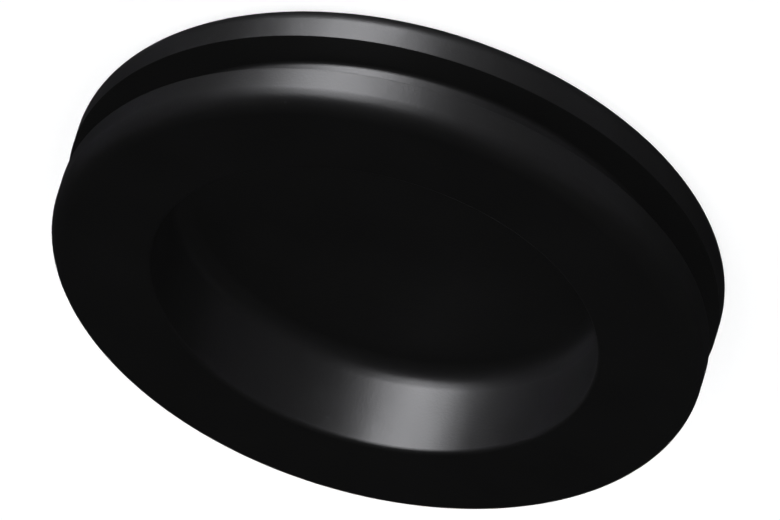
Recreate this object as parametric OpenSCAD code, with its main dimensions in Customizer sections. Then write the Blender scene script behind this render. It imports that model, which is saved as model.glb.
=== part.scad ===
// Blind rubber grommet: a closed round plug that snaps into a hole in a sheet.
// The edge of the hole sits in the groove between the front flange and the back one.
// A deep round recess opens in the front flange, and its floor closes the plug.
// The origin is the middle of the flat back face, and +Z points out of the recess.
// All sizes are in millimetres.

/* [Panel groove] */
// Diameter at the bottom of the groove, which is that of the hole in the sheet
groove_d = 35; // [20:0.1:60]
// Width of the groove, just under the thickness of the sheet so that it grips
groove_w = 2.45; // [1:0.05:5]
// Radius along both roots of the groove, where a flange meets the bottom
root_r = 0.25; // [0.1:0.05:0.4]

/* [Flanges] */
// How far both flanges stand out past the bottom of the groove
flange_lip = 2.5; // [1.8:0.05:8]
// Thickness of the front flange, on the open side
front_flange_h = 2.55; // [1.8:0.05:6]
// Thickness of the back flange, on the closed side
back_flange_h = 2.5; // [1.8:0.05:6]
// Radius round the outer edge of the front face and of the back face
rim_r = 1.25; // [0.2:0.05:1.5]

/* [Recess] */
// Rubber between the bottom of the groove and the wall of the recess
ring_wall = 3.8; // [1.2:0.05:6]
// Thickness of the membrane that closes the plug
membrane_h = 1.55; // [0.6:0.05:1.8]
// Radius where the wall of the recess runs into its floor
floor_r = 1.25; // [0.2:0.05:2]
// Radius round the mouth of the recess
mouth_r = 0.3; // [0.1:0.05:0.5]

/* [Hidden] */
$fn = 128;
rubber = "#0e0e0f";

groove_top = back_flange_h + groove_w;
total_h = groove_top + front_flange_h;
flange_d = groove_d + 2 * flange_lip;
recess_d = groove_d - 2 * ring_wall;
// How far a cutting shape reaches past the surface that it cuts
over = 1;

// The sliver between a square corner at the origin and the arc of radius r that
// touches both its sides. Taken away it rounds a corner, and added it fills a root.
module corner_sliver(r) {
    difference() {
        translate([-over, -over]) square(over + r);
        translate([r, r]) circle(r);
    }
}

// Half of a disc's section, with its lower and upper outer corners rounded.
// A radius of 0 leaves that corner sharp.
module disc_section(d, h, lower_r, upper_r) {
    difference() {
        square([d / 2, h]);
        if (lower_r > 0)
            translate([d / 2, 0]) mirror([1, 0]) corner_sliver(lower_r);
        if (upper_r > 0)
            translate([d / 2, h]) rotate(180) corner_sliver(upper_r);
    }
}

// Half section of the solid plug, before the recess is cut.
// Both flanges end in a sharp lip at the groove, which holds the sheet, and a small
// fillet at each root of the groove keeps the lip from tearing off.
module plug_section() {
    disc_section(flange_d, back_flange_h, rim_r, 0);
    square([groove_d / 2, total_h]);
    translate([groove_d / 2, back_flange_h]) corner_sliver(root_r);
    translate([groove_d / 2, groove_top]) mirror([0, 1]) corner_sliver(root_r);
    translate([0, groove_top])
        disc_section(flange_d, front_flange_h, 0, rim_r);
}

// Half section of the recess: a flat floor that a fillet joins to the straight wall,
// and a mouth that rolls out over the front face
module recess_section() {
    translate([0, membrane_h])
        disc_section(recess_d, total_h - membrane_h + over, floor_r, 0);
    translate([recess_d / 2, total_h]) mirror([0, 1]) corner_sliver(mouth_r);
}

// The whole grommet, moulded as one piece of rubber
module grommet() {
    color(rubber)
        rotate_extrude()
            difference() {
                plug_section();
                recess_section();
            }
}

grommet();
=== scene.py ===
"""A blind rubber grommet on a pale floor: its moulded rubber, soft studio light and camera."""

import math

import bpy
from mathutils import Matrix, Vector


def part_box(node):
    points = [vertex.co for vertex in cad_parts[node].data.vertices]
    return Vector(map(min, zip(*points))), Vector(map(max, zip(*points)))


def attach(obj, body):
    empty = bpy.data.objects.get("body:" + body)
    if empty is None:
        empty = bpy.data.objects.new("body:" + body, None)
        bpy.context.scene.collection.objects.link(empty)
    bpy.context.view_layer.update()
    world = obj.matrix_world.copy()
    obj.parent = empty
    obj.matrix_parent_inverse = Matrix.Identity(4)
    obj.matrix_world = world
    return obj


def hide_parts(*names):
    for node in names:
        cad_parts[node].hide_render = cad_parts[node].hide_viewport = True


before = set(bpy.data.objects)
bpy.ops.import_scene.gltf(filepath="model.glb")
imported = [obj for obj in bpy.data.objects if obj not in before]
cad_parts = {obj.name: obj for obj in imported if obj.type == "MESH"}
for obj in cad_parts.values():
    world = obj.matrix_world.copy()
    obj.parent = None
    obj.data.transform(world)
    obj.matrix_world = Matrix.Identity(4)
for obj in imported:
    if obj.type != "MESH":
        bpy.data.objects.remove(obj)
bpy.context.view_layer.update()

# ---------------------------------------------------------------- sizes, in metres
MM = 0.001
low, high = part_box("grommet")
FLANGE_R = high.x
TOTAL_H = high.z - low.z
BACK_FLANGE_H = 2.5 * MM
GROOVE_W = 2.45 * MM
GROOVE_R = 17.5 * MM
ROOT_R = 0.25 * MM
RIM_R = 1.25 * MM
RECESS_R = 13.7 * MM
MEMBRANE_H = 1.55 * MM
FLOOR_R = 1.25 * MM
MOUTH_R = 0.3 * MM
# Rubber never fills a mould's sharp corners, so the lips of the groove are rounded this much
LIP_R = 0.03 * MM
TURN_STEPS = 288
ARC_STEP = math.radians(7.5)


# ---------------------------------------------------------------- the moulding
def arc(centre, radius, start, end, outward=1):
    """Profile points round an arc, from angle start to angle end, in degrees.

    Each is (radius, height, normal's radius, normal's height). outward is 1 where
    the rubber is inside the arc and -1 where it is outside.
    """
    steps = max(2, round(abs(math.radians(end - start)) / ARC_STEP))
    points = []
    for i in range(steps + 1):
        a = math.radians(start + (end - start) * i / steps)
        r, z = math.cos(a), math.sin(a)
        points.append((centre[0] + radius * r, centre[1] + radius * z, outward * r, outward * z))
    return points


def moulding_profile():
    """Section of the grommet, from the middle of its back face round to the recess floor."""
    groove_top = BACK_FLANGE_H + GROOVE_W
    points = [(0, 0, 0, -1)]
    points += arc((FLANGE_R - RIM_R, RIM_R), RIM_R, -90, 0)
    points += arc((FLANGE_R - LIP_R, BACK_FLANGE_H - LIP_R), LIP_R, 0, 90)
    points += arc((GROOVE_R + ROOT_R, BACK_FLANGE_H + ROOT_R), ROOT_R, 270, 180, -1)
    points += arc((GROOVE_R + ROOT_R, groove_top - ROOT_R), ROOT_R, 180, 90, -1)
    points += arc((FLANGE_R - LIP_R, groove_top + LIP_R), LIP_R, -90, 0)
    points += arc((FLANGE_R - RIM_R, TOTAL_H - RIM_R), RIM_R, 0, 90)
    points += arc((RECESS_R + MOUTH_R, TOTAL_H - MOUTH_R), MOUTH_R, 90, 180)
    points += arc((RECESS_R - FLOOR_R, MEMBRANE_H + FLOOR_R), FLOOR_R, 0, -90, -1)
    points.append((0, MEMBRANE_H, 0, 1))
    return points


def turned(name, profile, steps):
    """A mesh object made by turning a profile once round Z, with exact normals."""
    verts, normals, faces = [], [], []
    turns = [2 * math.pi * i / steps for i in range(steps)]
    rings = []
    for r, z, nr, nz in profile:
        ring = []
        for a in turns if r > 0 else [0]:
            ring.append(len(verts))
            verts.append((r * math.cos(a), r * math.sin(a), z))
            normals.append((nr * math.cos(a), nr * math.sin(a), nz))
        rings.append(ring)
    for below, above in zip(rings, rings[1:]):
        for i in range(steps):
            j = (i + 1) % steps
            corners = [below[i % len(below)], below[j % len(below)],
                       above[j % len(above)], above[i % len(above)]]
            faces.append(list(dict.fromkeys(corners)))
    mesh = bpy.data.meshes.new(name)
    mesh.from_pydata(verts, [], faces)
    mesh.shade_smooth()
    mesh.normals_split_custom_set_from_vertices(normals)
    mesh.validate()
    obj = bpy.data.objects.new(name, mesh)
    bpy.context.scene.collection.objects.link(obj)
    return obj


# ---------------------------------------------------------------- materials
BLACK = (0.0031, 0.0031, 0.0031)
BLOOM = (0.0038, 0.0038, 0.0038)
GLOSSY_ROUGHNESS = 0.36
DULL_ROUGHNESS = 0.395
RUBBER_IOR = 1.5
FLOOR_WHITE = (0.97, 0.97, 0.97)
# Noise scales are in lumps a metre, and the depths of relief in metres
CLOUD_SCALE = 140
WAVE_SCALE = 300
WAVE_DEPTH = 40e-6
GRAIN_SCALE = 6000
GRAIN_DEPTH = 7e-6
# A noise texture stays between about these two values
NOISE_LOW = 0.3
NOISE_HIGH = 0.7


def new_material(name):
    """A node material, with its tree and its Principled BSDF."""
    material = bpy.data.materials.new(name)
    material.use_nodes = True
    tree = material.node_tree
    return material, tree, tree.nodes["Principled BSDF"]


def noise(tree, place, scale, detail):
    """A noise texture fixed to the object, with detail extra layers of finer lumps."""
    node = tree.nodes.new("ShaderNodeTexNoise")
    node.inputs["Scale"].default_value = scale
    node.inputs["Detail"].default_value = detail
    tree.links.new(place.outputs["Object"], node.inputs["Vector"])
    return node.outputs["Fac"]


def spread(tree, source, low_value, high_value):
    """Stretches a noise texture's values over the range asked for."""
    node = tree.nodes.new("ShaderNodeMapRange")
    node.inputs["From Min"].default_value = NOISE_LOW
    node.inputs["From Max"].default_value = NOISE_HIGH
    node.inputs["To Min"].default_value = low_value
    node.inputs["To Max"].default_value = high_value
    tree.links.new(source, node.inputs["Value"])
    return node.outputs["Result"]


def blend_colours(tree, factor, first, second):
    """Mixes two colours by a factor."""
    node = tree.nodes.new("ShaderNodeMix")
    node.data_type = "RGBA"
    node.inputs["A"].default_value = (*first, 1)
    node.inputs["B"].default_value = (*second, 1)
    tree.links.new(factor, node.inputs["Factor"])
    return node.outputs["Result"]


def bump(tree, height, depth, below=None):
    """Adds relief of the given depth in metres, on top of another bump's normal."""
    node = tree.nodes.new("ShaderNodeBump")
    node.inputs["Strength"].default_value = 1
    node.inputs["Distance"].default_value = depth
    tree.links.new(height, node.inputs["Height"])
    if below:
        tree.links.new(below, node.inputs["Normal"])
    return node.outputs["Normal"]


def rubber_material():
    """Black moulded rubber: satin, with a fine grain and faint cloudy changes of gloss."""
    material, tree, skin = new_material("black_rubber")
    place = tree.nodes.new("ShaderNodeTexCoord")
    # Bloom and handling leave soft clouds a few millimetres across, greyer and less glossy
    clouds = noise(tree, place, CLOUD_SCALE, 3)
    colour = blend_colours(tree, spread(tree, clouds, 0, 1), BLACK, BLOOM)
    tree.links.new(colour, skin.inputs["Base Color"])
    gloss = spread(tree, clouds, GLOSSY_ROUGHNESS, DULL_ROUGHNESS)
    tree.links.new(gloss, skin.inputs["Roughness"])
    skin.inputs["IOR"].default_value = RUBBER_IOR
    # The mould leaves a spark-eroded grain, over the slow waviness of a soft moulding
    waves = bump(tree, noise(tree, place, WAVE_SCALE, 1), WAVE_DEPTH)
    grain = bump(tree, noise(tree, place, GRAIN_SCALE, 2), GRAIN_DEPTH, waves)
    tree.links.new(grain, skin.inputs["Normal"])
    return material


def floor_material():
    """Plain pale floor, clear from below so that the back face can be looked at."""
    material, tree, paint = new_material("pale_floor")
    paint.inputs["Base Color"].default_value = (*FLOOR_WHITE, 1)
    paint.inputs["Roughness"].default_value = 1
    paint.inputs["Specular IOR Level"].default_value = 0
    side = tree.nodes.new("ShaderNodeNewGeometry")
    clear = tree.nodes.new("ShaderNodeBsdfTransparent")
    either = tree.nodes.new("ShaderNodeMixShader")
    tree.links.new(side.outputs["Backfacing"], either.inputs[0])
    tree.links.new(paint.outputs["BSDF"], either.inputs[1])
    tree.links.new(clear.outputs["BSDF"], either.inputs[2])
    tree.links.new(either.outputs["Shader"], tree.nodes["Material Output"].inputs["Surface"])
    return material


# ---------------------------------------------------------------- the object
grommet = turned("grommet_moulding", moulding_profile(), TURN_STEPS)
grommet.data.materials.append(rubber_material())
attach(grommet, "root")
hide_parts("grommet")

# ---------------------------------------------------------------- floor
FLOOR_SIZE = 4.0
# Keeps the floor and the flat back face from lying in one plane
FLOOR_GAP = 0.05 * MM
bpy.ops.mesh.primitive_plane_add(size=FLOOR_SIZE, location=(0, 0, low.z - FLOOR_GAP))
floor = bpy.context.object
floor.name = "floor"
floor.data.materials.append(floor_material())
floor.visible_glossy = False


# ---------------------------------------------------------------- light
WHITE = (1, 1, 1)
COOL = (0.965, 0.965, 1.0)
COLD = (0.82, 0.82, 1.0)
SURROUND = (0.01, 0.01, 0.011)


def sun(name, toward, level, width, colour=WHITE, shadow=False, gloss=True):
    """A soft far lamp, width degrees across. toward points at it.

    At level 1 it lights white paper to white. Without gloss it lights surfaces but
    makes no highlight on them.
    """
    light = bpy.data.lights.new(name, "SUN")
    light.energy = level * math.pi
    light.angle = math.radians(width)
    light.color = colour
    light.use_shadow = shadow
    # With this on, a lamp without shadow loses light wherever something is in its way
    light.cycles.use_multiple_importance_sampling = shadow
    lamp = bpy.data.objects.new(name, light)
    lamp.rotation_euler = Vector(toward).to_track_quat("Z", "Y").to_euler()
    lamp.visible_glossy = gloss
    bpy.context.scene.collection.objects.link(lamp)


def studio_world():
    """A surround that is white to the camera and nearly black to the rubber."""
    world = bpy.data.worlds.new("studio")
    bpy.context.scene.world = world
    world.use_nodes = True
    tree = world.node_tree
    rays = tree.nodes.new("ShaderNodeLightPath")
    shade = tree.nodes.new("ShaderNodeMix")
    shade.data_type = "RGBA"
    shade.inputs["A"].default_value = (*SURROUND, 1)
    shade.inputs["B"].default_value = (*WHITE, 1)
    tree.links.new(rays.outputs["Is Camera Ray"], shade.inputs["Factor"])
    tree.links.new(shade.outputs["Result"], tree.nodes["Background"].inputs["Color"])


# These light the floor, the flat faces and the -X side evenly, with no highlights.
# Only the overhead one, a quarter of the light from above, casts a shadow.
sun("overhead", (0.05, -0.5, 1.0), 0.27, 90, shadow=True, gloss=False)
sun("ambient", (0.05, -0.5, 1.0), 0.84, 150, gloss=False)
sun("left_ambient", (-0.90, -0.35, -0.25), 0.35, 120, gloss=False)
# These make the highlights. They stand level with the floor or below it, because from
# the camera's height nothing above the floor is mirrored in an upright wall.
sun("key_level", (0.513, -0.858, 0.0), 0.415, 29, COOL)
sun("key_low", (0.463, -0.702, -0.540), 0.782, 29, COOL)
sun("right_fill", (0.931, -0.347, -0.115), 0.046, 126, COLD)
sun("near_fill", (-0.074, -0.952, -0.297), 0.041, 140, COLD)
studio_world()

# ---------------------------------------------------------------- camera
ELEVATION = math.radians(34.8)
# The photo shows the part tipped the other way up, so the camera is rolled over
ROLL = math.radians(180 + 17.05)
FRAME_W = 46.46 * MM
AIM_H = 3.56 * MM
AIM_RIGHT = 0.08 * MM
# In millimetres. Long, to be near the photo's parallel view.
LENS = 1000
SENSOR_W = 36
FAR_CLIP = 10


def photo_camera():
    """The camera at the photograph's viewing angle, far enough off to frame FRAME_W."""
    data = bpy.data.cameras.new("camera")
    data.lens = LENS
    data.sensor_width = SENSOR_W
    data.clip_end = FAR_CLIP
    camera = bpy.data.objects.new("camera", data)
    bpy.context.scene.collection.objects.link(camera)
    tilt = Matrix.Rotation(math.pi / 2 - ELEVATION, 3, "X")
    turn = tilt @ Matrix.Rotation(ROLL, 3, "Z")
    right, back = turn.col[0], turn.col[2]
    aim = Vector((0, 0, AIM_H)) + AIM_RIGHT * right
    distance = FRAME_W * LENS / SENSOR_W
    camera.matrix_world = Matrix.Translation(aim + distance * back) @ turn.to_4x4()
    return camera


bpy.context.scene.camera = photo_camera()
bpy.context.scene.view_settings.view_transform = "Standard"
